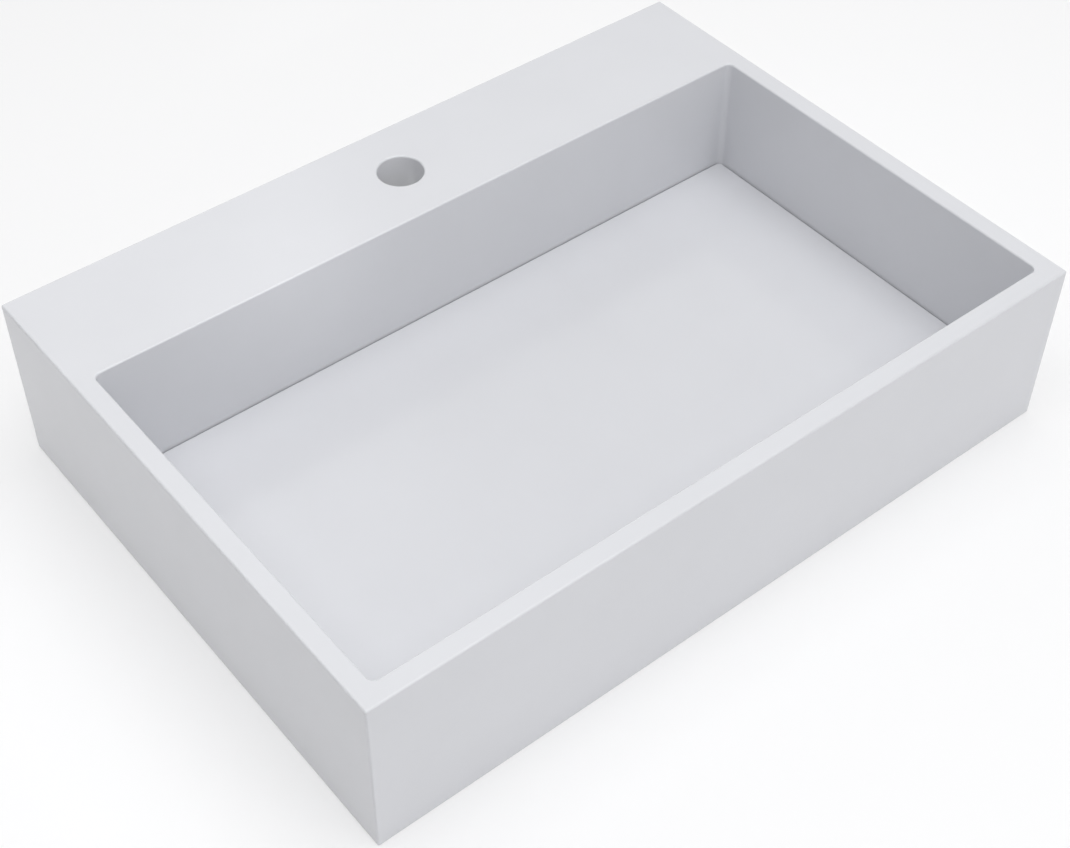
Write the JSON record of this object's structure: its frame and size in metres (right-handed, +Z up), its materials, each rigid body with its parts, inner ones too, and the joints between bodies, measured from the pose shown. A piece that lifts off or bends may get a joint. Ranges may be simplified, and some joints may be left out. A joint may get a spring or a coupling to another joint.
{
  "type": "countertop basin",
  "caption": "Sharp-edged rectangular countertop basin of white cast stone resin, with a tap ledge, one tap hole and a lift-out slab that hides its drain.",
  "frame": {"origin": "middle of the basin's footprint, on the counter that it stands on", "axes": "+X to the user's right along the width, +Y towards the wall behind, +Z up"},
  "size_m": [0.6, 0.43, 0.218],
  "materials": {
    "cast_stone_resin": "gloss",
    "chromed_brass": "polished",
    "stainless_steel": "satin",
    "brass": "satin",
    "seal_rubber": "matte",
    "pad_silicone": "satin",
    "washer_nylon": "matte"
  },
  "bodies": {
    "basin": {"basin_body": "cast_stone_resin", "waste_body": "chromed_brass", "waste_grid": "stainless_steel", "grid_screw": "stainless_steel", "flange_seal": "seal_rubber", "under_seal": "seal_rubber", "slip_washer": "washer_nylon", "lock_nut": "brass", "tailpiece": "chromed_brass"},
    "cover": {"drain_cover": "cast_stone_resin", "cover_feet": "pad_silicone"}
  },
  "joints": [
    {"name": "cover_lift", "type": "slide", "parent": "basin", "child": "cover", "axis": [0, 0, 1], "range_m": [0, 0.13]}
  ]
}
